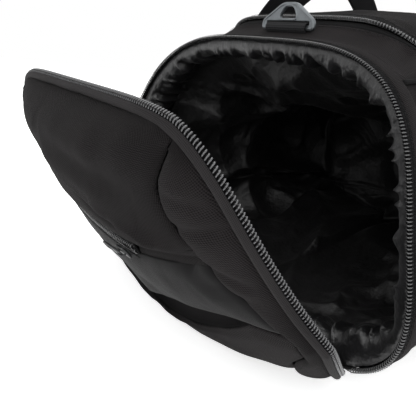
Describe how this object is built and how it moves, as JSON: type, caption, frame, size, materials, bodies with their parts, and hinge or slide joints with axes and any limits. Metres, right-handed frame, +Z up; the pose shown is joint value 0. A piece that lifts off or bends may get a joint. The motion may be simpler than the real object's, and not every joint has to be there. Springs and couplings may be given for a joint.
{
  "type": "flight bag",
  "caption": "Soft black holdall for flight crew, with a zipped end compartment that opens on a bottom-hinged flap, a zipped top lid, carry handles and strap rings.",
  "frame": {"origin": "centre of the flat base, on the floor", "axes": "+X along the bag towards its closed end, -Y the near long side, +Z up"},
  "size_m": [0.675, 0.3766, 0.3505],
  "materials": {
    "fabric_near": "woven twill, matt",
    "fabric_far": "woven twill, matt",
    "fabric_top": "woven twill, matt",
    "fabric_lid": "woven twill, matt",
    "fabric_end": "woven twill, matt",
    "fabric_base": "woven twill, matt",
    "fabric_flap": "woven twill, matt",
    "fabric_flap_side": "woven twill, matt",
    "fabric_pocket": "smooth coated cloth, low sheen",
    "board": "stiffener board",
    "piping": "matt tape",
    "piping_flap": "matt tape",
    "binding": "matt tape",
    "zip": "nylon coil on woven tape",
    "zip_lid": "nylon coil on woven tape",
    "zip_flap": "nylon coil on woven tape",
    "zip_pocket": "nylon coil on woven tape",
    "lining": "thin shiny nylon",
    "lining_deep": "thin shiny nylon",
    "lining_flap": "thin shiny nylon",
    "webbing": "woven strap, matt",
    "webbing_near": "woven strap, matt",
    "webbing_far": "woven strap, matt",
    "ring_open": "gunmetal, satin",
    "ring_closed": "gunmetal, satin",
    "slider": "gunmetal, satin",
    "pull": "gunmetal, satin"
  },
  "bodies": {
    "bag": {"base_board": "board", "base_panel": "fabric_base", "closed_end_panel": "fabric_end", "compartment_lining": "lining_deep", "end_binding": "binding", "end_sill": "fabric_base", "end_zip_body_half": "zip", "lining_band": "lining", "main_zip_body_half": "zip", "piping_bottom_far": "piping", "piping_bottom_near": "piping", "piping_closed_end": "piping", "piping_top_far": "piping", "piping_top_near": "piping", "ring_loop_closed": "webbing", "ring_loop_open": "webbing", "side_panel_far": "fabric_far", "side_panel_near": "fabric_near", "sill_floor": "binding", "strap_far_closed": "webbing", "strap_far_open": "webbing", "strap_near_closed": "webbing", "strap_near_open": "webbing", "top_panel": "fabric_top"},
    "end_flap": {"flap_border": "binding", "flap_bottom_panel": "fabric_flap_side", "flap_lining": "lining_flap", "flap_piping": "piping_flap", "flap_pocket_panel": "fabric_pocket", "flap_pocket_zip": "zip_pocket", "flap_side_far": "fabric_flap_side", "flap_side_near": "fabric_flap_side", "flap_upper_panel": "fabric_flap", "flap_zip_end": "fabric_flap", "flap_zip_half": "zip_flap"},
    "top_lid": {"lid_panel": "fabric_lid", "main_zip_lid_half": "zip_lid"},
    "handle_near": {"handle_near": "webbing_near"},
    "handle_far": {"handle_far": "webbing_far"},
    "d_ring_open": {"d_ring_open": "ring_open"},
    "d_ring_closed": {"d_ring_closed": "ring_closed"},
    "main_zip_slider": {"main_zip_slider": "slider"},
    "main_zip_pull": {"main_zip_pull": "pull"},
    "pocket_slider": {"pocket_slider": "slider"},
    "pocket_pull": {"pocket_pull": "pull"},
    "end_zip_slider": {"end_zip_slider": "slider"},
    "end_zip_pull": {"end_zip_pull": "pull"}
  },
  "joints": [
    {"name": "end_flap_hinge", "type": "hinge", "parent": "bag", "child": "end_flap", "pos_m": [-0.24893, 0, 0.0184], "axis": [0, -1, 0], "range_deg": [-41.5, 6]},
    {"name": "top_lid_hinge", "type": "hinge", "parent": "bag", "child": "top_lid", "pos_m": [0.19, 0, 0.23515], "axis": [0, 1, 0], "range_deg": [0, 105]},
    {"name": "handle_near_swing", "type": "hinge", "parent": "bag", "child": "handle_near", "pos_m": [0, -0.143, 0.214], "axis": [1, 0, 0], "range_deg": [-12, 112]},
    {"name": "handle_far_swing", "type": "hinge", "parent": "bag", "child": "handle_far", "pos_m": [0, 0.143, 0.214], "axis": [-1, 0, 0], "range_deg": [-12, 112]},
    {"name": "d_ring_open_swing", "type": "hinge", "parent": "bag", "child": "d_ring_open", "pos_m": [-0.213, 0, 0.238], "axis": [0, 1, 0], "range_deg": [-60, 35]},
    {"name": "d_ring_closed_swing", "type": "hinge", "parent": "bag", "child": "d_ring_closed", "pos_m": [0.213, 0, 0.238], "axis": [0, 1, 0], "range_deg": [-60, 60]},
    {"name": "main_zip_slide", "type": "slide", "parent": "top_lid", "child": "main_zip_slider", "axis": [1, 0, 0], "range_m": [-0.08, 0.08]},
    {"name": "main_zip_pull_hinge", "type": "hinge", "parent": "main_zip_slider", "child": "main_zip_pull", "pos_m": [0.05, -0.12271, 0.2422], "axis": [0, -0.8523, -0.5231], "range_deg": [0, 150]},
    {"name": "pocket_zip_slide", "type": "slide", "parent": "end_flap", "child": "pocket_slider", "axis": [-0.0546, 0.9973, -0.0483], "range_m": [0, 0.06]},
    {"name": "pocket_pull_hinge", "type": "hinge", "parent": "pocket_slider", "child": "pocket_pull", "pos_m": [-0.36689, -0.03656, 0.07492], "axis": [-0.6626, 0, 0.749], "range_deg": [0, 140]},
    {"name": "end_zip_slide", "type": "slide", "parent": "bag", "child": "end_zip_slider", "axis": [-0.1537, 0.6412, 0.7519], "range_m": [0, 0.008]},
    {"name": "end_zip_pull_hinge", "type": "hinge", "parent": "end_zip_slider", "child": "end_zip_pull", "pos_m": [-0.24327, 0.16834, 0.02567], "axis": [1, 0, 0], "range_deg": [0, 110]}
  ]
}
